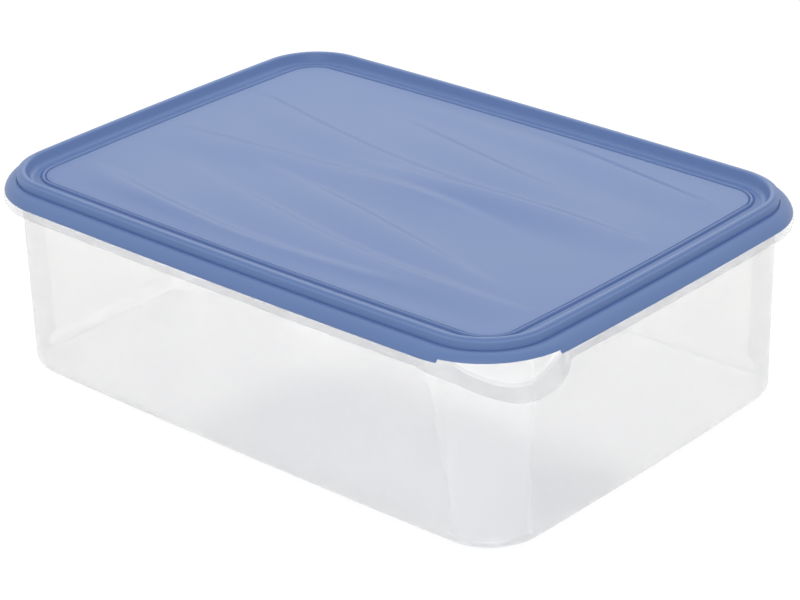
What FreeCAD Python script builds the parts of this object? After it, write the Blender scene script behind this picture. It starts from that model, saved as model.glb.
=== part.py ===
import FreeCAD, Part
import math
import os
from FreeCAD import Vector

# A flat food box of moulded plastic with a push-on lid.
# Millimetres. +Z is up and the box stands on Z = 0, with the origin under its middle.
# X runs along the long sides, Y along the short sides.
# An "inset" is a distance inwards from the outer edge of the flange, and a "station"
# is (inset, height, corner radius): one level line round the box.

# ---- overall sizes -------------------------------------------------------------
LENGTH = 330.0              # over the flange, along X
WIDTH = 240.0               # over the flange, along Y
SEAT_HEIGHT = 91.8          # from the table to the lower edge of the lid's skirt
LONG_SIDE_BOW = 1.8         # how far the long sides swell out at their middle
SHORT_SIDE_BOW = 1.8        # the same on the short sides

# ---- tub -----------------------------------------------------------------------
WALL = 1.3                  # thickness of the sides
FLOOR = 1.5                 # thickness of the bottom
WALL_INSET = 9.6            # outside of the wall at the flange
WALL_CORNER = 30.0          # corner radius of the wall at the flange
BASE_CORNER = 27.0          # corner radius of the wall at the bottom
DRAFT = 1.4                 # how much each side leans in from flange to bottom
BASE_ROUND = 6.0            # round between side and bottom
RIM_HEIGHT = 7.4            # how far the rim stands above the seat line
RIM_STEP = 0.35             # how far the rim stands back from the wall
FLANGE_CORNER = 44.0        # corner radius of the flange
FLANGE_THICKNESS = 2.0
FLANGE_EDGE_DROP = 2.6      # from the seat line down to the flange's outer edge
FLANGE_FALL = 3.1           # how far the flange falls from the wall to its edge
FLANGE_ROUND = 0.6          # round on the two lips of the flange's edge

# ---- finger scoop in one corner of the flange ----------------------------------
# The flange dips under the lid. The dip is drawn across the corner's diagonal:
# (distance across, depth below the flange's edge at the corner), with its round.
SCOOP_PATH = [
    (-27.7, 4.3, 0.0),
    (-16.7, 4.5, 25.0),
    (14.8, 15.4, 28.0),
    (29.1, 12.6, 5.0),
    (32.6, 0.0, 0.0),
]
SCOOP_FALL = 0.33           # fall of the scoop's floor per mm outwards
SCOOP_REACH = 34.0          # how far inwards of the corner the cut starts

# ---- lid -----------------------------------------------------------------------
LID_WALL = 1.3
LID_CLEARANCE = 0.3         # between the lid and what it fits over
SKIRT_INSET = 0.4           # the skirt stands this far inside the flange's edge
SHOULDER_HEIGHT = 4.9       # top of the rounded skirt above its lower edge
SHOULDER_ROUND = 7.9
SHOULDER_END = 95           # angle at which the shoulder's arc stops, in degrees
RIDGE_HEIGHT = RIM_HEIGHT + LID_CLEARANCE + 1.5     # crest above the skirt's lower edge
RIDGE_OUTER_INSET = WALL_INSET + 1.1                # the crest is flat from here
RIDGE_INNER_INSET = WALL_INSET + 1.7                # to here
RIDGE_OUTER_ROUND = 1.1
RIDGE_OUTER_SWEEP = (155, 90)                       # the arc's first and last angle
RIDGE_INNER_ROUND = 1.6
RIDGE_INNER_SWEEP = (90, 22)
TIER_INSET = WALL_INSET - 0.7                       # small step on the ridge's outer side
TIER_HEIGHT = RIDGE_HEIGHT - 1.0
TIER_ROUND = 0.6
TIER_SWEEP = (165, 95)
VALLEY_INSET = WALL_INSET + 7.0                     # lowest line between ridge and panel
VALLEY_HEIGHT = 3.9
VALLEY_ROUND = 3.2
VALLEY_SWEEP = (202, 270)
BEAD_INSET = WALL_INSET + 12.0                      # fine bead that frames the panel
BEAD_HEIGHT = 5.3
BEAD_ROUND = 0.8
BEAD_SWEEP = (150, 45)
BEAD_FOOT = 1.2                                     # from the bead in to the flat panel
PANEL_HEIGHT = 4.9                                  # flat middle of the lid
PANEL_CORNER = 15.0         # corner radius of the bead
FINGER_CUT = 1.5            # the skirt is this much shorter over the scoop
FINGER_CUT_SPAN = (-24.5, 27.0)     # from here to here across the diagonal

# ---- fineness ------------------------------------------------------------------
ROUND_STEPS = 2             # flats on each small round of the lid
SWEEP_STEPS = 4             # flats on each wide round of tub and lid
LEVEL = 1e-6                # two heights closer than this are the same


# ---- level outlines ------------------------------------------------------------
def bow_radius(span, bow):
    """Radius of an arc of this span that swells out by bow."""
    return (span * span / 4 + bow * bow) / (2 * bow)


def corner_centre(length, width, corner):
    """Centre of the corner round that touches a long side and a short side."""
    long_radius = bow_radius(length, LONG_SIDE_BOW)
    short_radius = bow_radius(width, SHORT_SIDE_BOW)
    long_centre_y = width / 2 - long_radius
    short_centre_x = length / 2 - short_radius
    a = long_radius - corner
    b = short_radius - corner
    gap = math.hypot(short_centre_x, long_centre_y)
    along = (a * a - b * b + gap * gap) / (2 * gap)
    off = math.sqrt(a * a - along * along)
    ux = short_centre_x / gap
    uy = -long_centre_y / gap
    return Vector(along * ux + off * uy, long_centre_y + along * uy - off * ux, 0)


def outline(length, width, corner, z):
    """Closed wire: bowed sides joined by tangent corner rounds."""
    centre = corner_centre(length, width, corner)
    long_centre = Vector(0, width / 2 - bow_radius(length, LONG_SIDE_BOW), 0)
    short_centre = Vector(length / 2 - bow_radius(width, SHORT_SIDE_BOW), 0, 0)
    on_long = centre + (centre - long_centre).normalize() * corner
    on_short = centre + (centre - short_centre).normalize() * corner
    middle = centre + ((on_long + on_short) * 0.5 - centre).normalize() * corner

    def at(point, sx, sy):
        return Vector(sx * point.x, sy * point.y, z)

    long_middle = Vector(0, width / 2, 0)
    short_middle = Vector(length / 2, 0, 0)
    arcs = [
        (at(on_short, 1, -1), at(short_middle, 1, 1), at(on_short, 1, 1)),
        (at(on_short, 1, 1), at(middle, 1, 1), at(on_long, 1, 1)),
        (at(on_long, 1, 1), at(long_middle, 1, 1), at(on_long, -1, 1)),
        (at(on_long, -1, 1), at(middle, -1, 1), at(on_short, -1, 1)),
        (at(on_short, -1, 1), at(short_middle, -1, 1), at(on_short, -1, -1)),
        (at(on_short, -1, -1), at(middle, -1, -1), at(on_long, -1, -1)),
        (at(on_long, -1, -1), at(long_middle, 1, -1), at(on_long, 1, -1)),
        (at(on_long, 1, -1), at(middle, 1, -1), at(on_short, 1, -1)),
    ]
    return Part.Wire([Part.Arc(*three).toShape() for three in arcs])


def station_wire(station):
    inset, z, corner = station
    return outline(LENGTH - 2 * inset, WIDTH - 2 * inset, corner, z)


def band_faces(first, second):
    """Faces from one station to the next: a flat ring if both are level."""
    wires = [station_wire(first), station_wire(second)]
    if abs(first[1] - second[1]) > LEVEL:
        return Part.makeLoft(wires, False, True).Faces
    return [Part.makeFace(wires, "Part::FaceMakerBullseye")]


def solid_of_stations(stations):
    """Closed solid: bands from each station to the next, flat faces on both ends."""
    faces = [Part.Face(station_wire(stations[0])), Part.Face(station_wire(stations[-1]))]
    for first, second in zip(stations[:-1], stations[1:]):
        faces += band_faces(first, second)
    shell = Part.makeShell(faces)
    shell.sewShape()
    solid = Part.makeSolid(shell)
    if solid.Volume < 0:
        solid.reverse()
    return solid


def prism(inset, corner, bottom, top):
    """Upright block with the same outline from bottom to top."""
    return solid_of_stations([(inset, bottom, corner), (inset, top, corner)])


def arc_points(centre, radius, start, end, steps):
    """(inset, height) points along an arc, angles in degrees."""
    points = []
    for step in range(steps + 1):
        angle = math.radians(start + (end - start) * step / steps)
        points.append((centre[0] + radius * math.cos(angle), centre[1] + radius * math.sin(angle)))
    return points


# ---- tub -----------------------------------------------------------------------
FLANGE_SLOPE = FLANGE_FALL / WALL_INSET
RIM_INSET = WALL_INSET + RIM_STEP


def wall_inset(z):
    """Inset of the outside of the wall, which leans in towards the bottom."""
    return WALL_INSET + DRAFT * (1 - z / SEAT_HEIGHT)


def wall_corner(z):
    return BASE_CORNER + (WALL_CORNER - BASE_CORNER) * z / SEAT_HEIGHT


def flange_top(inset):
    return SEAT_HEIGHT - FLANGE_EDGE_DROP + FLANGE_SLOPE * inset


def base_round_stations(thickness):
    """Round from the bottom up to the side, on the outside or one thickness in."""
    radius = BASE_ROUND - thickness
    top = BASE_ROUND
    centre = (wall_inset(top) + BASE_ROUND, top)
    points = arc_points(centre, radius, 270, 180, SWEEP_STEPS)
    corners = [wall_corner(top) - (inset - wall_inset(top)) for inset, z in points]
    return [(inset, z, corner) for (inset, z), corner in zip(points, corners)]


def outer_stations():
    """Outside of the tub, from the bottom up to the flange's edge."""
    under = flange_top(WALL_INSET) - FLANGE_THICKNESS
    edge_top = flange_top(0)
    edge_bottom = edge_top - FLANGE_THICKNESS
    stations = base_round_stations(0)
    stations.append((wall_inset(under), under, wall_corner(under)))
    stations.append((FLANGE_ROUND, edge_bottom, FLANGE_CORNER - FLANGE_ROUND))
    stations.append((0, edge_bottom + FLANGE_ROUND, FLANGE_CORNER))
    stations.append((0, edge_top - FLANGE_ROUND, FLANGE_CORNER))
    stations.append((FLANGE_ROUND, edge_top, FLANGE_CORNER - FLANGE_ROUND))
    return stations


def rim_stations():
    """Flange top, then up and over the rim that the lid fits on."""
    foot = flange_top(RIM_INSET)
    top = SEAT_HEIGHT + RIM_HEIGHT
    edge = WALL / 3
    rim_corner = WALL_CORNER - RIM_STEP
    return [
        (RIM_INSET, foot, rim_corner),
        (RIM_INSET, top - edge, rim_corner),
        (RIM_INSET + edge, top, rim_corner - edge),
        (RIM_INSET + WALL - edge, top, rim_corner - WALL + edge),
        (RIM_INSET + WALL, top - edge, rim_corner - WALL),
    ]


def inner_stations():
    """Inside of the tub, from the rim down to the floor."""
    bend = flange_top(WALL_INSET) - FLANGE_THICKNESS
    stations = [(wall_inset(bend) + WALL, bend, wall_corner(bend) - WALL)]
    for inset, z, corner in reversed(base_round_stations(FLOOR)):
        stations.append((inset + WALL - FLOOR, z, corner))
    return stations


def across_corner(across, out, z):
    """Point given across and out along the diagonal of the scooped corner."""
    centre = corner_centre(LENGTH, WIDTH, FLANGE_CORNER)
    diagonal = math.sqrt(0.5)
    x = centre.x + (out + across) * diagonal
    y = -centre.y + (across - out) * diagonal
    return Vector(x, y, z)


def offset_path(path, distance):
    """The same path moved sideways to its right-hand side, corners mitred."""
    moved = []
    for index, (u, v, radius) in enumerate(path):
        before = path[max(index - 1, 0)]
        after = path[min(index + 1, len(path) - 1)]
        first = math.atan2(v - before[1], u - before[0])
        second = math.atan2(after[1] - v, after[0] - u)
        if index == 0:
            first = second
        if index == len(path) - 1:
            second = first
        middle = (first + second) / 2
        reach = distance / math.cos((second - first) / 2)
        turn = second - first
        grown = radius + math.copysign(distance, turn) if radius else 0.0
        moved.append((u + reach * math.sin(middle), v - reach * math.cos(middle), grown))
    return moved


def rounded_edges(path, out):
    """Edges along a path in the upright plane across the corner, with tangent rounds."""
    points = [across_corner(u, out, v) for u, v, radius in path]
    edges = []
    start = points[0]
    for index in range(1, len(points) - 1):
        corner = points[index]
        back = (points[index - 1] - corner).normalize()
        on = (points[index + 1] - corner).normalize()
        half = back.getAngle(on) / 2
        radius = path[index][2]
        trim = radius / math.tan(half)
        middle = (back + on).normalize() * (radius / math.sin(half) - radius)
        arc_start = corner + back * trim
        arc_end = corner + on * trim
        edges.append(Part.makeLine(start, arc_start))
        edges.append(Part.Arc(arc_start, corner + middle, arc_end).toShape())
        start = arc_end
    edges.append(Part.makeLine(start, points[-1]))
    return edges


def scoop_path():
    level = flange_top(0)
    return [(across, level - depth, radius) for across, depth, radius in SCOOP_PATH]


def pull_out(edges):
    """Solid pulled from a closed profile outwards and down along the diagonal."""
    face = Part.Face(Part.Wire(edges))
    start = across_corner(0, 0, 0)
    end = across_corner(0, SCOOP_REACH + FLANGE_CORNER, 0)
    fall = Vector(0, 0, -SCOOP_FALL * (SCOOP_REACH + FLANGE_CORNER))
    return face.extrude(end - start + fall)


def closing_edges(edges, points):
    """Straight edges from the end of a path through points back to its start."""
    chain = [edges[-1].Vertexes[-1].Point] + points + [edges[0].Vertexes[0].Point]
    return [Part.makeLine(a, b) for a, b in zip(chain[:-1], chain[1:])]


def scoop_solids():
    """The space above the scoop's floor, and the dipped stretch of flange."""
    out = -SCOOP_REACH
    rise = SCOOP_FALL * (FLANGE_CORNER - out)
    path = [(u, v + rise, radius) for u, v, radius in scoop_path()]
    top_edges = rounded_edges(path, out)
    high = SEAT_HEIGHT + rise + RIM_HEIGHT
    lid = [across_corner(path[-1][0], out, high), across_corner(path[0][0], out, high)]
    space = pull_out(top_edges + closing_edges(top_edges, lid))
    low_edges = rounded_edges(offset_path(path, FLANGE_THICKNESS), out)
    ends = [
        Part.makeLine(top_edges[0].Vertexes[0].Point, low_edges[0].Vertexes[0].Point),
        Part.makeLine(top_edges[-1].Vertexes[-1].Point, low_edges[-1].Vertexes[-1].Point),
    ]
    shelf = pull_out(Part.__sortEdges__(top_edges + low_edges + ends))
    return space, shelf


def make_tub():
    body = solid_of_stations(outer_stations() + rim_stations() + inner_stations())
    space, shelf = scoop_solids()
    low = SEAT_HEIGHT / 2
    high = SEAT_HEIGHT + RIM_HEIGHT
    wall_outside = prism(WALL_INSET, WALL_CORNER, low, high)
    wall_middle = prism(wall_inset(low) + WALL / 2, wall_corner(low) - WALL / 2, low, high)
    under_flange = solid_of_stations([
        (0, low, FLANGE_CORNER),
        (0, flange_top(0), FLANGE_CORNER),
        (WALL_INSET + WALL, flange_top(WALL_INSET + WALL), WALL_CORNER - WALL),
    ])
    shelf = shelf.common(under_flange).cut(wall_middle)
    return body.cut(space.cut(wall_outside)).fuse(shelf).removeSplitter().Solids[0]


# ---- lid -----------------------------------------------------------------------
RIDGE_START = TIER_INSET - TIER_ROUND


def ridge_corner(inset):
    """The ridge goes round the corners side by side with the tub's rim."""
    return WALL_CORNER + WALL_INSET - inset


def lid_corner(inset):
    """Corner radius of a line on the lid, which tightens from skirt to panel."""
    marks = [
        (0.0, FLANGE_CORNER),
        (RIDGE_START, ridge_corner(RIDGE_START)),
        (RIDGE_INNER_INSET + RIDGE_INNER_ROUND, ridge_corner(RIDGE_INNER_INSET + RIDGE_INNER_ROUND)),
        (BEAD_INSET, PANEL_CORNER),
        (BEAD_INSET + PANEL_CORNER, 0.0),
    ]
    for (low, low_corner), (high, high_corner) in zip(marks[:-1], marks[1:]):
        if inset <= high:
            share = (inset - low) / (high - low)
            return low_corner + (high_corner - low_corner) * share
    return 0.0


def shoulder_points(thickness):
    """Rounded skirt in section, on the outside or one thickness in."""
    centre_z = SHOULDER_HEIGHT - SHOULDER_ROUND
    centre_inset = SKIRT_INSET + math.sqrt(SHOULDER_ROUND ** 2 - centre_z ** 2)
    radius = SHOULDER_ROUND - thickness
    start = 180 - math.degrees(math.asin(-centre_z / radius))
    return arc_points((centre_inset, centre_z), radius, start, SHOULDER_END, SWEEP_STEPS)


def lid_top_points():
    """Section of the lid's upper side, from the skirt's edge in to the panel."""
    points = shoulder_points(0)
    points += arc_points((TIER_INSET, TIER_HEIGHT - TIER_ROUND), TIER_ROUND, *TIER_SWEEP, 1)
    outer = (RIDGE_OUTER_INSET, RIDGE_HEIGHT - RIDGE_OUTER_ROUND)
    points += arc_points(outer, RIDGE_OUTER_ROUND, *RIDGE_OUTER_SWEEP, ROUND_STEPS)
    inner = (RIDGE_INNER_INSET, RIDGE_HEIGHT - RIDGE_INNER_ROUND)
    points += arc_points(inner, RIDGE_INNER_ROUND, *RIDGE_INNER_SWEEP, ROUND_STEPS)
    valley = (VALLEY_INSET, VALLEY_HEIGHT + VALLEY_ROUND)
    points += arc_points(valley, VALLEY_ROUND, *VALLEY_SWEEP, SWEEP_STEPS)
    bead = (BEAD_INSET, BEAD_HEIGHT - BEAD_ROUND)
    points += arc_points(bead, BEAD_ROUND, *BEAD_SWEEP, ROUND_STEPS)
    points.append((BEAD_INSET + BEAD_FOOT, PANEL_HEIGHT))
    return points


def lid_under_points():
    """Section of the lid's under side, from the panel out to the skirt's edge."""
    top = RIM_HEIGHT + LID_CLEARANCE
    channel_outer = RIM_INSET - LID_CLEARANCE
    channel_inner = RIM_INSET + WALL + LID_CLEARANCE
    valley = (VALLEY_INSET, VALLEY_HEIGHT + VALLEY_ROUND)
    points = [(BEAD_INSET + BEAD_FOOT, PANEL_HEIGHT - LID_WALL)]
    points += arc_points(valley, VALLEY_ROUND + LID_WALL, *reversed(VALLEY_SWEEP), ROUND_STEPS)
    points.append((channel_inner, top))
    points.append((channel_outer, top))
    points.append((channel_outer - LID_CLEARANCE, SHOULDER_HEIGHT - LID_WALL / 3))
    points += reversed(shoulder_points(LID_WALL))
    return points


def under_corner(inset):
    """Corner radius on the lid's under side."""
    if RIM_INSET - 2 * LID_CLEARANCE <= inset <= RIM_INSET + WALL + LID_CLEARANCE:
        return ridge_corner(inset)
    if inset < RIM_INSET:
        return lid_corner(inset - LID_WALL) - LID_WALL
    return lid_corner(inset + LID_WALL) + LID_WALL


def make_lid():
    top = [(inset, SEAT_HEIGHT + z, lid_corner(inset)) for inset, z in lid_top_points()]
    under = [(inset, SEAT_HEIGHT + z, under_corner(inset)) for inset, z in lid_under_points()]
    return solid_of_stations(under + top).cut(finger_cut()).Solids[0]


def finger_cut():
    """The skirt's lower edge is raised over the scoop, with sloping ends."""
    start, end = FINGER_CUT_SPAN
    low = SEAT_HEIGHT - FINGER_CUT
    high = SEAT_HEIGHT + FINGER_CUT
    section = [(start - FINGER_CUT, low), (start + FINGER_CUT, high)]
    section += [(end - FINGER_CUT, high), (end + FINGER_CUT, low)]
    corners = [across_corner(u, 0, v) for u, v in section]
    face = Part.Face(Part.makePolygon(corners + [corners[0]]))
    return face.extrude(across_corner(0, 2 * FLANGE_CORNER, 0) - across_corner(0, 0, 0))


os.makedirs("parts", exist_ok=True)
make_tub().exportStep("parts/tub.step")
make_lid().exportStep("parts/lid.step")
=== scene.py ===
import math

import bmesh
import bpy
from mathutils import Matrix, Vector


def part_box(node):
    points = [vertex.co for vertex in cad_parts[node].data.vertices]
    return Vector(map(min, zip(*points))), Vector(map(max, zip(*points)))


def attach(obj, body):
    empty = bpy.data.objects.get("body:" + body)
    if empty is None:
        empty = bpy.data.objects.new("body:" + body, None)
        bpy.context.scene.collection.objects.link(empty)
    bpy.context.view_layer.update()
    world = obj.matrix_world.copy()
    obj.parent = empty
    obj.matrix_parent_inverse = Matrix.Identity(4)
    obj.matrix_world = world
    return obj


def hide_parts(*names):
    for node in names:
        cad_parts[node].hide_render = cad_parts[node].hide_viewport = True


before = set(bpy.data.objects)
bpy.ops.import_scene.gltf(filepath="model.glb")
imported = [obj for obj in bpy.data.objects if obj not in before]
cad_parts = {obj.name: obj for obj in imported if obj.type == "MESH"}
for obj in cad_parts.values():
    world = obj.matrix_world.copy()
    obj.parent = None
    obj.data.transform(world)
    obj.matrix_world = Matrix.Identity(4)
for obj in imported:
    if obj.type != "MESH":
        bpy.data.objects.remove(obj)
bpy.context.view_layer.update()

# A see-through food box with a blue push-on lid. Metres, in the frame's coordinates.
# An inset is a distance inwards from the outer edge of the tub's flange, a height is
# measured from the seat line, and a station is (inset, height, corner radius): one level
# line round the box. An arc is (first angle, last angle, steps), in degrees.
MM = 0.001
tub_low, tub_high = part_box("tub")
LENGTH = tub_high.x - tub_low.x
WIDTH = tub_high.y - tub_low.y
BOW = 1.8 * MM                     # how far each side swells out at its middle
CREST_HEIGHT = 9.2 * MM            # top of the lid's ridge
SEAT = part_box("lid")[1].z - CREST_HEIGHT    # the seat line, above the bottom

# ---- sizes of the lid ------------------------------------------------------------
LID_WALL = 1.3 * MM
CLEARANCE = 0.3 * MM               # between the lid and the tub's rim
SKIRT_INSET = 0.4 * MM
SKIRT_CORNER = 44 * MM
SHOULDER_HEIGHT = 4.9 * MM
SHOULDER_ROUND = 7.9 * MM
SHOULDER_END = 95                  # angle at which the rounded skirt meets the ridge
SHOULDER_STEPS = 10
UNDER_SHOULDER_STEPS = 6
FOOT_DEPTH = 0.3 * MM              # faint groove at the ridge's foot
TIER_INSET = 8.9 * MM              # the small step on the ridge's outer side
TIER_HEIGHT = 8.2 * MM
TIER_ROUND = 0.6 * MM
TIER_ARC = (165, 95, 4)
CREST_OUTER = 10.7 * MM
CREST_OUTER_ROUND = 1.1 * MM
CREST_OUTER_ARC = (155, 90, 5)
CREST_INNER = 11.3 * MM
CREST_INNER_ROUND = 1.6 * MM
CREST_INNER_ARC = (89, 22, 6)
RIDGE_CORNER = 39.6 * MM           # corner radius of the ridge, were it at inset zero
VALLEY_INSET = 16.6 * MM           # lowest line between ridge and panel
VALLEY_HEIGHT = 3.9 * MM
VALLEY_ROUND = 3.2 * MM
VALLEY_ARC = (202, 270, 6)
UNDER_VALLEY_ARC = (270, 202, 4)
BEAD_INSET = 21.6 * MM             # fine bead that frames the panel
BEAD_HEIGHT = 5.3 * MM
BEAD_ROUND = 0.8 * MM
BEAD_ARC = (150, 20, 7)
BEAD_FOOT = 2.4 * MM               # from the bead in to the flat panel
GROOVE_DEPTH = 0.8 * MM            # fine grooves on both sides of the bead
GROOVE_WIDTH = 0.5 * MM
OUTER_GROOVE = [(0, 0.4), (0.8, 1.1), (1.4, 1)]    # shares of that width and depth
INNER_GROOVE = [(0, 1), (0.5, 0.8), (1, 0.1)]
PANEL_EDGE = 2 * MM                # plain border of the panel, outside the relief
PANEL_HEIGHT = 4.9 * MM
PANEL_CORNER = 15 * MM
LID_SMOOTH = 40                    # edges up to this angle are shaded smooth

# ---- flowing relief on the panel -------------------------------------------------
PANEL_LENGTH = LENGTH - 2 * BEAD_INSET
PANEL_WIDTH = WIDTH - 2 * BEAD_INSET
PANEL_CELL = 9 * MM                # first the panel is cut into squares of this size
PANEL_CUTS = 7                     # then each square is cut this often each way
WHOLE_CELL = 0.99                  # share of its area that a whole square has at least
WAVE_COUNT = 8
WAVE_RISE = 2.0 * MM
WAVE_FRONT = 7 * MM                # width of a wave's steep side
WAVE_TAIL = 26 * MM                # width of its long soft side
WAVE_FADE = 22 * MM                # the relief fades out this near the bead
WAVE_END = 0.3                     # share of the panel's length in which a wave runs out
CREST_START = 0.95                 # first crest's place, as a share of the panel's width
CREST_STEP = 0.115                 # from each crest to the next
CREST_SLANT = 0.09                 # how far a crest drifts from one end to the other
CREST_BEND = (0.05, 1.3, 4.4)      # its bend: size, turn for each wave, turn along it
CREST_LEAN = (0.04, 1.9)           # its extra drift: size, turn for each wave
WAVE_FIRST = (0.1, 0.22, 2.6)      # where a wave starts: middle, swing, turn for each wave
WAVE_LAST = (0.94, 0.14, 2.2)      # where it ends
WAVE_SIZE = (0.8, 0.3, 3.1)        # its height beside the others

# ---- sizes of the tub ------------------------------------------------------------
TUB_WALL = 1.3 * MM
TUB_FLOOR = 1.5 * MM
WALL_INSET = 9.6 * MM              # outside of the wall at the seat line
WALL_CORNER = 30 * MM
BASE_CORNER = 27 * MM
DRAFT = 1.4 * MM                   # how much each side leans in down to the bottom
BASE_ROUND = 6 * MM
BASE_ARC = (270, 180, 12)
FLOOR_ARC = (270, 180, 10)
FLANGE_CORNER = SKIRT_CORNER
FLANGE_THICKNESS = 2 * MM
FLANGE_DROP = 2.6 * MM             # from the seat line down to the flange's edge
FLANGE_FALL = 3.1 * MM             # how far it falls from the wall to its edge
LIP_ROUND = 0.8 * MM
LOWER_LIP_ARC = (260, 180, 5)
UPPER_LIP_ARC = (180, 105, 5)
ROOT_ROUND = 1.2 * MM              # where the wall runs into the flange
ROOT_ARC = (0, 80, 5)
RIM_INSET = 9.95 * MM              # the upright rim, which the lid's ridge covers
RIM_HEIGHT = 7.4 * MM
RIM_WALL = TUB_WALL
RIM_ARC = (180, 0, 8)
SUPPORT = 2 * MM                   # a flat stretch starts this far from a round
TUB_SMOOTH = 35                    # edges up to this angle are shaded smooth

# ---- finger scoop: place of the corner, and its floor drawn across the corner ----
SCOOP_CENTRE = Vector((LENGTH / 2 - SKIRT_CORNER, -(WIDTH / 2 - SKIRT_CORNER), SEAT))
SCOOP_TURN = 45                    # degrees from the box's side to the corner's diagonal
SCOOP_SPAN = (-24.5 * MM, 29 * MM)    # the finger cut in the skirt over it
SCOOP_RAISE = 1.5 * MM             # height of that cut
SCOOP_PATH = [                     # across, depth below the flange's edge, trim of its round
    (-34 * MM, 4.2 * MM, 0),
    (-16.7 * MM, 4.5 * MM, 4.0 * MM),
    (14.8 * MM, 15.4 * MM, 7.5 * MM),
    (29.1 * MM, 12.6 * MM, 3.1 * MM),
    (32.6 * MM, 0, 0),
]
SCOOP_STEPS = 10                   # in each of its rounds
SCOOP_FALL = 0.33                  # fall of its floor for each length outwards
SCOOP_REACH = 34 * MM              # starts this far inwards of the corner's centre

# ---- fineness of the meshes ------------------------------------------------------
CORNER_STEPS = 16
LONG_CUTS = 21
SHORT_CUTS = 15
RING_COUNT = 4 * (CORNER_STEPS + 1) + 2 * (LONG_CUTS + SHORT_CUTS)
SIDE_LEAST = 100 * MM              # only an uncut straight side is longer than this
NUDGE = 0.01 * MM                  # two neighbouring rings are never quite level

# ---- colours, 0 to 255, and finishes ---------------------------------------------
BLUE = (102, 131, 185)
BLUE_CLOUDED = (108, 137, 191)
BLUE_GLOSS = (0.34, 0.44)          # lowest and highest roughness
BLUE_GRAIN = 0.3
BLUE_IOR = 1.49
CLEAR = (255, 254, 252)
CLEAR_CLOUDED = (255, 255, 254)
CLEAR_GRAIN = 0.15
CLEAR_IOR = 1.35
CLEAR_WALL = {
    "transmission": 0.95,
    "milky": (0.15, 0.92),         # how solid it is, straight on and edge-on
    "gloss": (0.10, 0.18),
    "edge_grey": 206,
}
# A lighter copy of the same clear plastic, for the flange: painted light on the flange, which lies
# in the lid's shade
FLANGE_PAINTED_LIGHTER = {
    "transmission": 0.85,
    "milky": (0.12, 0.4),
    "gloss": (0.3, 0.4),
    "edge_grey": 235,
}
MILK_BLEND = 0.3                   # how early the milkiness sets in towards the edge
EDGE_BLEND = 0.12                  # and how early the grey does
CLOUD_NOISE = (14, 3)              # scale and detail
GRAIN_NOISE = (900, 2)
GRAIN_DEPTH = 0.02 * MM
SURFACE_TAKES = [                  # sockets of the moulded surface, name and kind
    ("Colour", "Color"),
    ("Clouded", "Color"),
    ("Gloss low", "Float"),
    ("Gloss high", "Float"),
    ("Grain", "Float"),
]
SURFACE_GIVES = [
    ("Colour", "Color"),
    ("Roughness", "Float"),
    ("Normal", "Vector"),
]

# ---- floor, light and camera -----------------------------------------------------
WHITE = (1, 1, 1, 1)
FLOOR_SIZE = 6
FLOOR_GAP = 0.2 * MM               # keeps the floor out of the plane of the tub's bottom
FLOOR_GREY = 95
FLOOR_ROUGHNESS = 0.9
FLOOR_SHEEN = 0.1
FLOOR_GLOW = (0.94, 0.5)           # where it is seen, and otherwise
WORLD_GLOW = (1.0, 0.6)
MIDDLE = (0, 0, 0.05)              # the box's middle
LAMPS = [                          # name, place, aim, size, power
    ("overhead", (-0.2, 0.5, 1.6), MIDDLE, (1.6, 1.2), 4.5),
    ("front", (0.9, -1.4, 1.0), MIDDLE, (1.2, 1.2), 5.8),
    ("behind", (-0.45, 0.55, 0.45), (-0.05, 0.05, 0.1), (0.6, 0.3), 0.6),
]
VIEW_AZIMUTH = 42.26               # degrees
VIEW_ELEVATION = 25.45
VIEW_ROLL = -1.56
VIEW_DISTANCE = 1.27886
VIEW_RIGHT = 0.002626              # the camera is moved this far to its right
VIEW_DOWN = 0.010799               # and this far down
LENS = 122.3                       # millimetres, like the sensor
SENSOR = 36
CLIP_START = 0.05


# ---- working in edit mode --------------------------------------------------------
def only(obj):
    """Make this the one selected and active object."""
    bpy.ops.object.select_all(action="DESELECT")
    obj.select_set(True)
    bpy.context.view_layer.objects.active = obj


def new_piece(name):
    """An empty mesh object at the origin, open in edit mode."""
    obj = bpy.data.objects.new(name, bpy.data.meshes.new(name))
    bpy.context.scene.collection.objects.link(obj)
    only(obj)
    bpy.ops.object.mode_set(mode="EDIT")
    return obj


def leave():
    """Leave edit mode."""
    bpy.ops.object.mode_set(mode="OBJECT")


def select(obj, kind, wanted):
    """In edit mode, select the edges or faces for which wanted(item) holds."""
    bpy.ops.mesh.select_mode(type=kind)
    bpy.ops.mesh.select_all(action="DESELECT")
    mesh = bmesh.from_edit_mesh(obj.data)
    items = {"EDGE": mesh.edges, "FACE": mesh.faces}[kind]
    for item in items:
        if wanted(item):
            item.select_set(True)
    mesh.select_flush_mode()
    bmesh.update_edit_mesh(obj.data)


def point_outwards():
    """In edit mode, select all faces and turn them outwards."""
    bpy.ops.mesh.select_all(action="SELECT")
    bpy.ops.mesh.normals_make_consistent(inside=False)


def apply_all(obj):
    """Apply all modifiers."""
    only(obj)
    for modifier in list(obj.modifiers):
        bpy.ops.object.modifier_apply(modifier=modifier.name)


def combine(obj, operation, other):
    """Boolean with another object, which is used up."""
    modifier = obj.modifiers.new("boolean", "BOOLEAN")
    modifier.operation = operation
    modifier.solver = "EXACT"
    modifier.object = other
    apply_all(obj)
    bpy.data.objects.remove(other)


def shade(obj, angle):
    """Shade smooth, but keep edges that are sharper than the angle."""
    only(obj)
    bpy.ops.object.shade_smooth_by_angle(angle=math.radians(angle))


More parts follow.
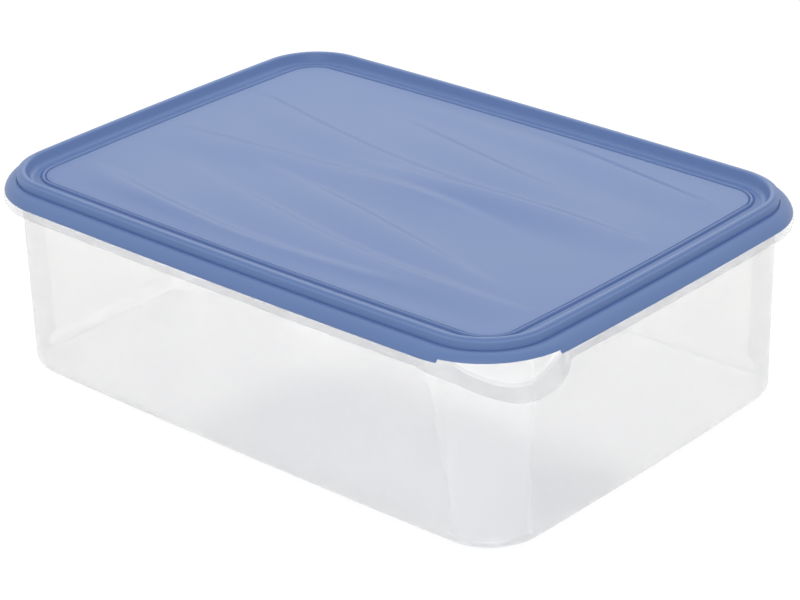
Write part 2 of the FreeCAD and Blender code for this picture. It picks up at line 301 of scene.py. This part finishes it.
# ---- level rings, bridged into a wall --------------------------------------------
def add_ring(obj, station):
    """One level ring: a plane with its corners bevelled round, sides cut and bowed."""
    inset, height, corner = station
    length = LENGTH - 2 * inset
    width = WIDTH - 2 * inset
    z = SEAT + height
    before = len(bmesh.from_edit_mesh(obj.data).verts)
    bpy.ops.mesh.select_mode(type="VERT")
    bpy.ops.mesh.primitive_plane_add(size=1, location=(0, 0, z))
    bpy.ops.transform.resize(value=(length, width, 1), center_override=(0, 0, z))
    bpy.ops.mesh.bevel(offset=corner, segments=CORNER_STEPS, affect="VERTICES")
    bpy.ops.mesh.delete(type="ONLY_FACE")
    for axis, cuts in ((0, LONG_CUTS), (1, SHORT_CUTS)):
        select(obj, "EDGE", lambda e: is_side(e, before, axis))
        bpy.ops.mesh.subdivide(number_cuts=cuts)
    mesh = bmesh.from_edit_mesh(obj.data)
    for vert in mesh.verts:
        if vert.index >= before:
            x = 2 * vert.co.x / length
            y = 2 * vert.co.y / width
            vert.co.x -= BOW * x * y ** 2
            vert.co.y -= BOW * y * x ** 2
    bmesh.update_edit_mesh(obj.data)


def is_side(edge, before, axis):
    """Is this fresh edge one whole straight side along the axis?"""
    first, second = edge.verts
    if min(first.index, second.index) < before:
        return False
    return abs(first.co[axis] - second.co[axis]) > SIDE_LEAST


def select_rings(obj, first, count):
    """Select the level edges of the rings from the first on."""
    start = first * RING_COUNT
    end = (first + count) * RING_COUNT

    def on_ring(edge):
        low, high = sorted(vert.index for vert in edge.verts)
        return start <= low and high < end and low // RING_COUNT == high // RING_COUNT
    select(obj, "EDGE", on_ring)


def loft(obj, stations):
    """Rings at all stations, each bridged to the one before."""
    for index, station in enumerate(stations):
        add_ring(obj, station)
        if index:
            select_rings(obj, index - 1, 2)
            bpy.ops.mesh.bridge_edge_loops()


def close_ring(obj, index):
    """A face on one ring, which stays selected."""
    select_rings(obj, index, 1)
    bpy.ops.mesh.edge_face_add()


def block(name, stations):
    """A closed solid with a ring at each station."""
    obj = new_piece(name)
    loft(obj, stations)
    for index in (0, len(stations) - 1):
        close_ring(obj, index)
        bpy.ops.mesh.inset(thickness=SUPPORT)
    point_outwards()
    leave()
    return obj


def arc_points(centre, radius, arc):
    """(inset, height) points along an arc."""
    start, end, steps = arc
    points = []
    for step in range(steps + 1):
        angle = math.radians(start + (end - start) * step / steps)
        inset = centre[0] + radius * math.cos(angle)
        height = centre[1] + radius * math.sin(angle)
        points.append((inset, height))
    return points


# ---- the lid ---------------------------------------------------------------------
def shoulder_points(thickness, steps):
    """Rounded skirt in section, on the outside or one thickness in."""
    below = SHOULDER_ROUND - SHOULDER_HEIGHT
    centre_inset = SKIRT_INSET + math.sqrt(SHOULDER_ROUND ** 2 - below ** 2)
    radius = SHOULDER_ROUND - thickness
    start = 180 - math.degrees(math.asin(below / radius))
    return arc_points((centre_inset, -below), radius, (start, SHOULDER_END, steps))


def ridge_points():
    """Section of the ridge, from the groove at its foot to the valley behind it."""
    foot = TIER_INSET - TIER_ROUND
    points = [
        (foot - GROOVE_WIDTH, SHOULDER_HEIGHT - FOOT_DEPTH / 2),
        (foot - GROOVE_WIDTH / 3, SHOULDER_HEIGHT - FOOT_DEPTH),
    ]
    tier = (TIER_INSET, TIER_HEIGHT - TIER_ROUND)
    points += arc_points(tier, TIER_ROUND, TIER_ARC)
    outer = (CREST_OUTER, CREST_HEIGHT - CREST_OUTER_ROUND)
    points += arc_points(outer, CREST_OUTER_ROUND, CREST_OUTER_ARC)
    inner = (CREST_INNER, CREST_HEIGHT - CREST_INNER_ROUND)
    points += arc_points(inner, CREST_INNER_ROUND, CREST_INNER_ARC)
    valley = (VALLEY_INSET, VALLEY_HEIGHT + VALLEY_ROUND)
    points += arc_points(valley, VALLEY_ROUND, VALLEY_ARC)
    return points


def groove_points(start, shares):
    """A fine groove beside the bead, from its start inwards."""
    points = []
    for across, down in shares:
        points.append((start + across * GROOVE_WIDTH, PANEL_HEIGHT - down * GROOVE_DEPTH))
    return points


def lid_top_points():
    """Section of the lid's upper side, from the skirt's edge in to the panel."""
    points = shoulder_points(0, SHOULDER_STEPS) + ridge_points()
    points += groove_points(BEAD_INSET - BEAD_ROUND - 2 * GROOVE_WIDTH, OUTER_GROOVE)
    points += arc_points((BEAD_INSET, BEAD_HEIGHT - BEAD_ROUND), BEAD_ROUND, BEAD_ARC)
    points += groove_points(BEAD_INSET + BEAD_ROUND + GROOVE_WIDTH / 2, INNER_GROOVE)
    points.append((BEAD_INSET + BEAD_FOOT, PANEL_HEIGHT))
    return points


def lid_under_points():
    """Section of the lid's under side, from the panel out to the skirt's edge."""
    top = RIM_HEIGHT + CLEARANCE
    valley = (VALLEY_INSET, VALLEY_HEIGHT + VALLEY_ROUND)
    points = [(BEAD_INSET + BEAD_FOOT, PANEL_HEIGHT - LID_WALL)]
    points += arc_points(valley, VALLEY_ROUND + LID_WALL, UNDER_VALLEY_ARC)
    points.append((RIM_INSET + RIM_WALL + CLEARANCE, top))
    points.append((RIM_INSET - CLEARANCE, top - NUDGE))
    points.append((RIM_INSET - 2 * CLEARANCE, SHOULDER_HEIGHT - LID_WALL / 3))
    points += reversed(shoulder_points(LID_WALL, UNDER_SHOULDER_STEPS))
    points[-1] = (points[-1][0], NUDGE)
    return points


def lid_corner(inset):
    """Corner radius of a line on the lid, which tightens from skirt to panel."""
    ridge_start = TIER_INSET - TIER_ROUND
    ridge_end = CREST_INNER + CREST_INNER_ROUND
    marks = [
        (0.0, SKIRT_CORNER),
        (ridge_start, RIDGE_CORNER - ridge_start),
        (ridge_end, RIDGE_CORNER - ridge_end),
        (BEAD_INSET, PANEL_CORNER),
        (BEAD_INSET + PANEL_CORNER, 0.0),
    ]
    for (low, low_corner), (high, high_corner) in zip(marks[:-1], marks[1:]):
        if inset <= high:
            share = (inset - low) / (high - low)
            return low_corner + (high_corner - low_corner) * share
    return 0.0


def under_corner(inset):
    """Corner radius of a line on the lid's under side."""
    if RIM_INSET - 2 * CLEARANCE <= inset <= RIM_INSET + RIM_WALL + CLEARANCE:
        return RIDGE_CORNER - inset
    if inset < RIM_INSET:
        return lid_corner(inset - LID_WALL) - LID_WALL
    return lid_corner(inset + LID_WALL) + LID_WALL


def make_lid():
    """The lid, with the relief on its panel and the finger cut in its skirt."""
    obj = new_piece("lid_moulding")
    stations = [(inset, z, under_corner(inset)) for inset, z in lid_under_points()]
    stations += [(inset, z, lid_corner(inset)) for inset, z in lid_top_points()]
    loft(obj, stations)
    close_ring(obj, 0)
    close_ring(obj, len(stations) - 1)
    bpy.ops.mesh.inset(thickness=PANEL_EDGE)
    point_outwards()
    cut_panel(obj)
    leave()
    raise_waves(obj)
    combine(obj, "DIFFERENCE", skirt_cutter())
    obj.data.materials.append(blue_plastic())
    shade(obj, LID_SMOOTH)
    return obj


# ---- flowing relief on the panel -------------------------------------------------
def faces_up(face):
    """Does this face look up, give or take 60 degrees?"""
    return face.normal.z > 0.5


def in_relief(point):
    """Is this place at the panel's height, inside its plain border?"""
    level = abs(point.z - SEAT - PANEL_HEIGHT) < NUDGE
    edge = BEAD_INSET + BEAD_FOOT + PANEL_EDGE
    return level and abs(point.x) < LENGTH / 2 - edge and abs(point.y) < WIDTH / 2 - edge


def on_panel(face):
    """Is this face part of the flat panel that gets the relief?"""
    return faces_up(face) and in_relief(face.calc_center_median())


def cut_panel(obj):
    """Cut the flat panel into squares, and these again into fine ones."""
    for axis, span in ((0, PANEL_LENGTH), (1, PANEL_WIDTH)):
        normal = [0, 0, 0]
        normal[axis] = 1
        count = int(span / 2 / PANEL_CELL)
        for step in range(-count, count + 1):
            place = [0, 0, 0]
            place[axis] = step * PANEL_CELL
            select(obj, "FACE", on_panel)
            bpy.ops.mesh.bisect(plane_co=place, plane_no=normal)
    whole = WHOLE_CELL * PANEL_CELL ** 2
    select(obj, "FACE", lambda f: on_panel(f) and f.calc_area() > whole and len(f.verts) == 4)
    bpy.ops.mesh.subdivide(number_cuts=PANEL_CUTS)


def soft(value):
    """Smooth step from 0 to 1."""
    value = min(max(value, 0.0), 1.0)
    return value * value * (3 - 2 * value)


def crest_place(index, along):
    """Where a crest runs across the panel, as a share of its width."""
    bend, bend_turn, bend_along = CREST_BEND
    lean, lean_turn = CREST_LEAN
    swing = bend * math.sin(bend_turn * index + bend_along * along)
    swing += lean * along * math.cos(lean_turn * index)
    return CREST_START - CREST_STEP * index - CREST_SLANT * along + swing


def wave_share(index, along):
    """A wave's height at this place along the panel, as a share of the full rise."""
    middle, swing, turn = WAVE_FIRST
    first = middle + swing * math.sin(turn * index)
    middle, swing, turn = WAVE_LAST
    last = middle + swing * math.cos(turn * index)
    middle, swing, turn = WAVE_SIZE
    size = middle + swing * math.sin(turn * index)
    ends = soft((along - first) / WAVE_END) * soft((last - along) / WAVE_END)
    return size * ends


def wave_height(x, y):
    """Height of the relief: steep on the far side of each crest, soft before it."""
    along = x / PANEL_LENGTH + 0.5
    height = 0.0
    for index in range(WAVE_COUNT):
        distance = (crest_place(index, along) - 0.5) * PANEL_WIDTH - y
        front = soft(1 + distance / WAVE_FRONT)
        tail = soft(1 - distance / WAVE_TAIL)
        height += wave_share(index, along) * front * tail
    edge = min(PANEL_LENGTH / 2 - abs(x), PANEL_WIDTH / 2 - abs(y))
    return WAVE_RISE * height * soft(edge / WAVE_FADE)


def raise_waves(obj):
    """Raise the panel's points to the relief."""
    for vert in obj.data.vertices:
        if in_relief(vert.co):
            vert.co.z += wave_height(vert.co.x, vert.co.y)


# ---- the tub ---------------------------------------------------------------------
def wall_inset(height):
    """Inset of the outside of the wall, which leans in towards the bottom."""
    return WALL_INSET - DRAFT * height / SEAT


def wall_corner(height):
    """Corner radius of the outside of the wall, tighter towards the bottom."""
    return WALL_CORNER + (WALL_CORNER - BASE_CORNER) * height / SEAT


def wall_station(height, inwards):
    """The wall's line at a height, on its outside or this far in from it."""
    return (wall_inset(height) + inwards, height, wall_corner(height) - inwards)


def flange_top(inset):
    """Height of the flange's upper side, which falls towards its edge."""
    return FLANGE_FALL / WALL_INSET * inset - FLANGE_DROP


def flange_corner(inset):
    """Corner radius of the flange, from its edge in to the wall."""
    share = inset / WALL_INSET
    return FLANGE_CORNER + (WALL_CORNER - FLANGE_CORNER) * share


def base_round(radius, arc):
    """Round from the bottom up to the side, with the wall's own centre."""
    top = BASE_ROUND - SEAT
    middle = wall_inset(top) + BASE_ROUND
    points = arc_points((middle, top), radius, arc)
    return [(inset, z, wall_corner(top) - inset + wall_inset(top)) for inset, z in points]


def outer_wall_stations():
    """Outside of the tub, from the bottom up to the underside of the flange."""
    root = flange_top(WALL_INSET) - FLANGE_THICKNESS
    stations = base_round(BASE_ROUND, BASE_ARC)
    for height in (BASE_ROUND + SUPPORT - SEAT, -SEAT / 2, root - ROOT_ROUND - SUPPORT):
        stations.append(wall_station(height, 0))
    for inset, z in arc_points((WALL_INSET - ROOT_ROUND, root - ROOT_ROUND), ROOT_ROUND, ROOT_ARC):
        stations.append((inset, z, WALL_CORNER + WALL_INSET - inset))
    return stations


def flange_stations():
    """From the underside of the flange round its lip and back to the rim.

    A station close to each round keeps the flat stretch beyond it flat.
    """
    lower = flange_top(LIP_ROUND) - FLANGE_THICKNESS
    upper = flange_top(0)
    under = 3 * LIP_ROUND
    stations = [(under, lower + 2 * LIP_ROUND / 3, flange_corner(under))]
    points = arc_points((LIP_ROUND, lower + LIP_ROUND), LIP_ROUND, LOWER_LIP_ARC)
    points += arc_points((LIP_ROUND, upper - LIP_ROUND), LIP_ROUND, UPPER_LIP_ARC)
    for inset, z in points:
        stations.append((inset, z, flange_corner(inset)))
    outer = 2 * LIP_ROUND
    stations.append((outer, flange_top(outer), flange_corner(outer)))
    inner = RIM_INSET - ROOT_ROUND / 2
    stations.append((inner, flange_top(inner), RIDGE_CORNER - inner))
    return stations


def rim_stations():
    """Up from the flange and over the rim that the lid fits on."""
    foot = flange_top(RIM_INSET) + ROOT_ROUND / 2
    edge = RIM_WALL / 2
    points = [(RIM_INSET, foot)]
    points += arc_points((RIM_INSET + edge, RIM_HEIGHT - edge), edge, RIM_ARC)
    return [(inset, z, RIDGE_CORNER - inset) for inset, z in points]


def inner_wall_stations():
    """Inside of the tub, from below the rim down to the floor."""
    bend = flange_top(WALL_INSET) - FLANGE_THICKNESS
    stations = []
    for height in (bend, bend - SUPPORT, -SEAT / 2, BASE_ROUND + SUPPORT - SEAT):
        stations.append(wall_station(height, TUB_WALL))
    for inset, z, corner in reversed(base_round(BASE_ROUND - TUB_FLOOR, FLOOR_ARC)):
        stations.append((inset + TUB_WALL - TUB_FLOOR, z, corner))
    return stations


def outside_wall(point):
    """Is this place on the flange, well outside the wall?"""
    x = abs(point.x)
    y = abs(point.y)
    bow = BOW * 4 * x * y / LENGTH / WIDTH
    x += bow * 2 * y / WIDTH
    y += bow * 2 * x / LENGTH
    beside = x - LENGTH / 2 + FLANGE_CORNER
    before = y - WIDTH / 2 + FLANGE_CORNER
    if beside > 0 and before > 0:
        inset = FLANGE_CORNER - math.hypot(beside, before)
    else:
        inset = min(LENGTH / 2 - x, WIDTH / 2 - y)
    return inset < WALL_INSET - 2 * ROOT_ROUND


def make_tub():
    """The tub, with the scoop cut into its flange, and a lighter copy of its own plastic on the
    flange as painted light.
    """
    stations = outer_wall_stations() + flange_stations() + rim_stations()
    obj = block("tub_moulding", stations + inner_wall_stations())
    space = scoop_space()
    outside = [(WALL_INSET, -SEAT / 2, WALL_CORNER), (WALL_INSET, SEAT, WALL_CORNER)]
    combine(space, "DIFFERENCE", block("wall_outside", outside))
    combine(obj, "DIFFERENCE", space)
    combine(obj, "UNION", scoop_shelf())
    obj.data.materials.append(clear_plastic("clear polypropylene", **CLEAR_WALL))
    obj.data.materials.append(clear_plastic("flange painted lighter", **FLANGE_PAINTED_LIGHTER))
    # faces on the flange get the lighter copy of the plastic: painted light
    for face in obj.data.polygons:
        face.material_index = int(outside_wall(face.center))
    shade(obj, TUB_SMOOTH)
    return obj


# ---- the finger scoop, and the cut in the skirt over it --------------------------
def place_at_scoop(obj):
    """Leave edit mode and move the mesh to the corner, turned to its diagonal."""
    leave()
    turn = Matrix.Rotation(math.radians(SCOOP_TURN), 4, "Z")
    obj.data.transform(Matrix.Translation(SCOOP_CENTRE) @ turn)


def skirt_cutter():
    """A long wedge that crosses the corner under the skirt, with sloping ends."""
    obj = new_piece("skirt_cutter")
    start, end = SCOOP_SPAN
    width = end - start
    height = 2 * SCOOP_RAISE
    bpy.ops.mesh.primitive_cube_add(size=1)
    bpy.ops.mesh.select_all(action="SELECT")
    bpy.ops.transform.resize(value=(width, 2 * SKIRT_CORNER, height), center_override=(0, 0, 0))
    select(obj, "FACE", faces_up)
    bpy.ops.transform.resize(value=(1 - height / width, 1, 1), center_override=(0, 0, 0))
    bpy.ops.mesh.select_all(action="SELECT")
    bpy.ops.transform.translate(value=((start + end) / 2, -SKIRT_CORNER, 0))
    place_at_scoop(obj)
    return obj


def scoop_sheet(name):
    """The scoop's floor: its line drawn across the corner, pulled outwards and down."""
    obj = new_piece(name)
    reach = SCOOP_REACH + FLANGE_CORNER
    rise = SCOOP_FALL * reach
    corners = []
    for across, depth, _ in SCOOP_PATH:
        corners.append(Vector((across, SCOOP_REACH, rise - FLANGE_DROP - depth)))
    bpy.ops.mesh.select_mode(type="VERT")
    bpy.ops.mesh.primitive_plane_add(size=MM, location=corners[0])
    bpy.ops.mesh.merge(type="CENTER")
    bpy.ops.mesh.select_all(action="SELECT")
    for first, second in zip(corners[:-1], corners[1:]):
        bpy.ops.mesh.extrude_region_move(TRANSFORM_OT_translate={"value": second - first})
    bpy.ops.mesh.select_all(action="SELECT")
    pull = Vector((0, -reach - SKIRT_INSET, -rise))
    bpy.ops.mesh.extrude_region_move(TRANSFORM_OT_translate={"value": pull})
    for across, _, trim in SCOOP_PATH[1:-1]:
        select(obj, "EDGE", lambda e: all(abs(v.co.x - across) < NUDGE for v in e.verts))
        bpy.ops.mesh.bevel(offset=trim, segments=SCOOP_STEPS, affect="EDGES")
    return obj


def scoop_space():
    """All that is above the scoop's floor."""
    obj = scoop_sheet("scoop_space")
    bpy.ops.mesh.select_all(action="SELECT")
    up = Vector((0, 0, 2 * SCOOP_REACH))
    bpy.ops.mesh.extrude_region_move(TRANSFORM_OT_translate={"value": up})
    point_outwards()
    place_at_scoop(obj)
    return obj


def scoop_shelf():
    """The dipped stretch of flange, cut to the flange's outline and the wall."""
    obj = scoop_sheet("scoop_shelf")
    point_outwards()
    place_at_scoop(obj)
    modifier = obj.modifiers.new("thickness", "SOLIDIFY")
    modifier.thickness = FLANGE_THICKNESS
    modifier.offset = -1 if obj.data.polygons[0].normal.z > 0 else 1
    modifier.use_even_offset = True
    apply_all(obj)
    low = -SEAT / 2
    reach = WALL_INSET + TUB_WALL
    outline = [
        (NUDGE, low, FLANGE_CORNER),
        (NUDGE, flange_top(0), FLANGE_CORNER),
        (reach, flange_top(reach), WALL_CORNER - TUB_WALL),
    ]
    combine(obj, "INTERSECT", block("under_flange", outline))
    middle = TUB_WALL / 2
    wall = [wall_station(low, middle), (WALL_INSET + middle, RIM_HEIGHT, WALL_CORNER - middle)]
    combine(obj, "DIFFERENCE", block("wall_middle", wall))
    return obj


# ---- materials -------------------------------------------------------------------
def colour(levels):
    """An sRGB colour, 0 to 255, as linear values with alpha."""
    linear = []
    for level in levels:
        share = level / 255
        linear.append(share / 12.92 if share <= 0.04045 else ((share + 0.055) / 1.055) ** 2.4)
    return (*linear, 1)


def new_material(name):
    """A material, its node tree and its shader."""
    material = bpy.data.materials.new(name)
    material.use_nodes = True
    tree = material.node_tree
    return material, tree, tree.nodes["Principled BSDF"]


def add_noise(group, place, noise):
    """Noise on the piece's own coordinates."""
    node = group.nodes.new("ShaderNodeTexNoise")
    node.inputs["Scale"].default_value, node.inputs["Detail"].default_value = noise
    group.links.new(place.outputs["Object"], node.inputs["Vector"])
    return node.outputs["Fac"]


def moulded_group():
    """Faint clouding of the colour and the fine grain of a moulded surface."""
    group = bpy.data.node_groups.new("moulded surface", "ShaderNodeTree")
    for name, kind in SURFACE_TAKES:
        group.interface.new_socket(name, in_out="INPUT", socket_type="NodeSocket" + kind)
    for name, kind in SURFACE_GIVES:
        group.interface.new_socket(name, in_out="OUTPUT", socket_type="NodeSocket" + kind)
    nodes, links = group.nodes, group.links
    given = nodes.new("NodeGroupInput")
    result = nodes.new("NodeGroupOutput")
    place = nodes.new("ShaderNodeTexCoord")
    cloud = add_noise(group, place, CLOUD_NOISE)
    grain = add_noise(group, place, GRAIN_NOISE)
    mix = nodes.new("ShaderNodeMix")
    mix.data_type = "RGBA"
    gloss = nodes.new("ShaderNodeMapRange")
    bump = nodes.new("ShaderNodeBump")
    bump.inputs["Distance"].default_value = GRAIN_DEPTH
    links.new(cloud, mix.inputs["Factor"])
    links.new(given.outputs["Colour"], mix.inputs["A"])
    links.new(given.outputs["Clouded"], mix.inputs["B"])
    links.new(mix.outputs["Result"], result.inputs["Colour"])
    links.new(cloud, gloss.inputs["Value"])
    links.new(given.outputs["Gloss low"], gloss.inputs["To Min"])
    links.new(given.outputs["Gloss high"], gloss.inputs["To Max"])
    links.new(gloss.outputs["Result"], result.inputs["Roughness"])
    links.new(grain, bump.inputs["Height"])
    links.new(given.outputs["Grain"], bump.inputs["Strength"])
    links.new(bump.outputs["Normal"], result.inputs["Normal"])
    return group


def moulded(tree, shader, base, clouded, gloss, grain):
    """Lead the moulded surface's colour, roughness and normal into a shader."""
    node = tree.nodes.new("ShaderNodeGroup")
    node.node_tree = MOULDED
    node.inputs["Colour"].default_value = colour(base)
    node.inputs["Clouded"].default_value = colour(clouded)
    node.inputs["Gloss low"].default_value, node.inputs["Gloss high"].default_value = gloss
    node.inputs["Grain"].default_value = grain
    tree.links.new(node.outputs["Colour"], shader.inputs["Base Color"])
    tree.links.new(node.outputs["Roughness"], shader.inputs["Roughness"])
    tree.links.new(node.outputs["Normal"], shader.inputs["Normal"])
    return node


def edge_on(tree, blend):
    """0 where the surface is seen straight on, up to 1 where it is seen edge-on."""
    node = tree.nodes.new("ShaderNodeLayerWeight")
    node.inputs["Blend"].default_value = blend
    return node.outputs["Facing"]


def between(tree, value, low, high):
    """A value from 0 to 1, spread from low to high."""
    node = tree.nodes.new("ShaderNodeMapRange")
    node.inputs["To Min"].default_value = low
    node.inputs["To Max"].default_value = high
    tree.links.new(value, node.inputs["Value"])
    return node.outputs["Result"]


def blue_plastic():
    """Solid blue plastic with a soft gloss."""
    material, tree, shader = new_material("blue polypropylene")
    moulded(tree, shader, BLUE, BLUE_CLOUDED, BLUE_GLOSS, BLUE_GRAIN)
    shader.inputs["IOR"].default_value = BLUE_IOR
    return material


def clear_plastic(name, transmission, milky, gloss, edge_grey):
    """Milky see-through plastic: more solid, and greyer, where it is seen edge-on."""
    material, tree, shader = new_material(name)
    surface = moulded(tree, shader, CLEAR, CLEAR_CLOUDED, gloss, CLEAR_GRAIN)
    shader.inputs["IOR"].default_value = CLEAR_IOR
    shader.inputs["Transmission Weight"].default_value = transmission
    milk = between(tree, edge_on(tree, MILK_BLEND), *milky)
    tree.links.new(milk, shader.inputs["Alpha"])
    tint = tree.nodes.new("ShaderNodeMix")
    tint.data_type = "RGBA"
    tint.inputs["B"].default_value = colour((edge_grey, edge_grey, edge_grey))
    tree.links.new(edge_on(tree, EDGE_BLEND), tint.inputs["Factor"])
    tree.links.new(surface.outputs["Colour"], tint.inputs["A"])
    tree.links.new(tint.outputs["Result"], shader.inputs["Base Color"])
    return material


# ---- floor, light and camera -----------------------------------------------------
def glow(tree, seen, otherwise):
    """One strength seen directly, reflected or through a piece, and one otherwise."""
    rays = tree.nodes.new("ShaderNodeLightPath")
    total = rays.outputs["Is Camera Ray"]
    for name in ("Is Glossy Ray", "Is Transmission Ray"):
        most = tree.nodes.new("ShaderNodeMath")
        most.operation = "MAXIMUM"
        tree.links.new(total, most.inputs[0])
        tree.links.new(rays.outputs[name], most.inputs[1])
        total = most.outputs[0]
    return between(tree, total, otherwise, seen)


def make_floor():
    """A pale floor, white where it is seen."""
    bpy.ops.mesh.primitive_plane_add(size=FLOOR_SIZE, location=(0, 0, -FLOOR_GAP))
    floor = bpy.context.object
    floor.name = "floor"
    material, tree, shader = new_material("pale floor")
    shader.inputs["Base Color"].default_value = colour((FLOOR_GREY, FLOOR_GREY, FLOOR_GREY))
    shader.inputs["Roughness"].default_value = FLOOR_ROUGHNESS
    shader.inputs["Specular IOR Level"].default_value = FLOOR_SHEEN
    shader.inputs["Emission Color"].default_value = WHITE
    tree.links.new(glow(tree, *FLOOR_GLOW), shader.inputs["Emission Strength"])
    floor.data.materials.append(material)


def make_world():
    """White all round, with a gentler light on the box."""
    world = bpy.data.worlds.new("studio")
    bpy.context.scene.world = world
    world.use_nodes = True
    tree = world.node_tree
    background = tree.nodes["Background"]
    background.inputs["Color"].default_value = WHITE
    tree.links.new(glow(tree, *WORLD_GLOW), background.inputs["Strength"])


def add_lamp(name, place, aim, size, power):
    """A soft rectangular lamp."""
    lamp = bpy.data.lights.new(name, "AREA")
    lamp.shape = "RECTANGLE"
    lamp.size, lamp.size_y = size
    lamp.energy = power
    obj = bpy.data.objects.new(name, lamp)
    bpy.context.scene.collection.objects.link(obj)
    obj.location = place
    line = Vector(aim) - Vector(place)
    obj.rotation_euler = line.to_track_quat("-Z", "Y").to_euler()


def make_camera():
    """Seen over the corner with the finger scoop, from above, slightly rolled."""
    azimuth = math.radians(VIEW_AZIMUTH)
    elevation = math.radians(VIEW_ELEVATION)
    roll = math.radians(VIEW_ROLL)
    back = Vector((
        math.sin(azimuth) * math.cos(elevation),
        -math.cos(azimuth) * math.cos(elevation),
        math.sin(elevation),
    ))
    right = Vector((math.cos(azimuth), math.sin(azimuth), 0))
    up = back.cross(right)
    place = Vector(MIDDLE) + back * VIEW_DISTANCE + right * VIEW_RIGHT - up * VIEW_DOWN
    right_rolled = right * math.cos(roll) + up * math.sin(roll)
    up_rolled = up * math.cos(roll) - right * math.sin(roll)
    lens = bpy.data.cameras.new("camera")
    lens.sensor_width = SENSOR
    lens.lens = LENS
    lens.clip_start = CLIP_START
    camera = bpy.data.objects.new("camera", lens)
    bpy.context.scene.collection.objects.link(camera)
    camera.matrix_world = Matrix((
        (right_rolled.x, up_rolled.x, back.x, place.x),
        (right_rolled.y, up_rolled.y, back.y, place.y),
        (right_rolled.z, up_rolled.z, back.z, place.z),
        (0, 0, 0, 1),
    ))
    bpy.context.scene.camera = camera


# ---- everything together ---------------------------------------------------------
MOULDED = moulded_group()
lid = make_lid()
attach(lid, "root")
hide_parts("lid")
tub = make_tub()
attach(tub, "root")
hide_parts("tub")
make_floor()
make_world()
for lamp in LAMPS:
    add_lamp(*lamp)
make_camera()
bpy.context.scene.view_settings.view_transform = "Standard"
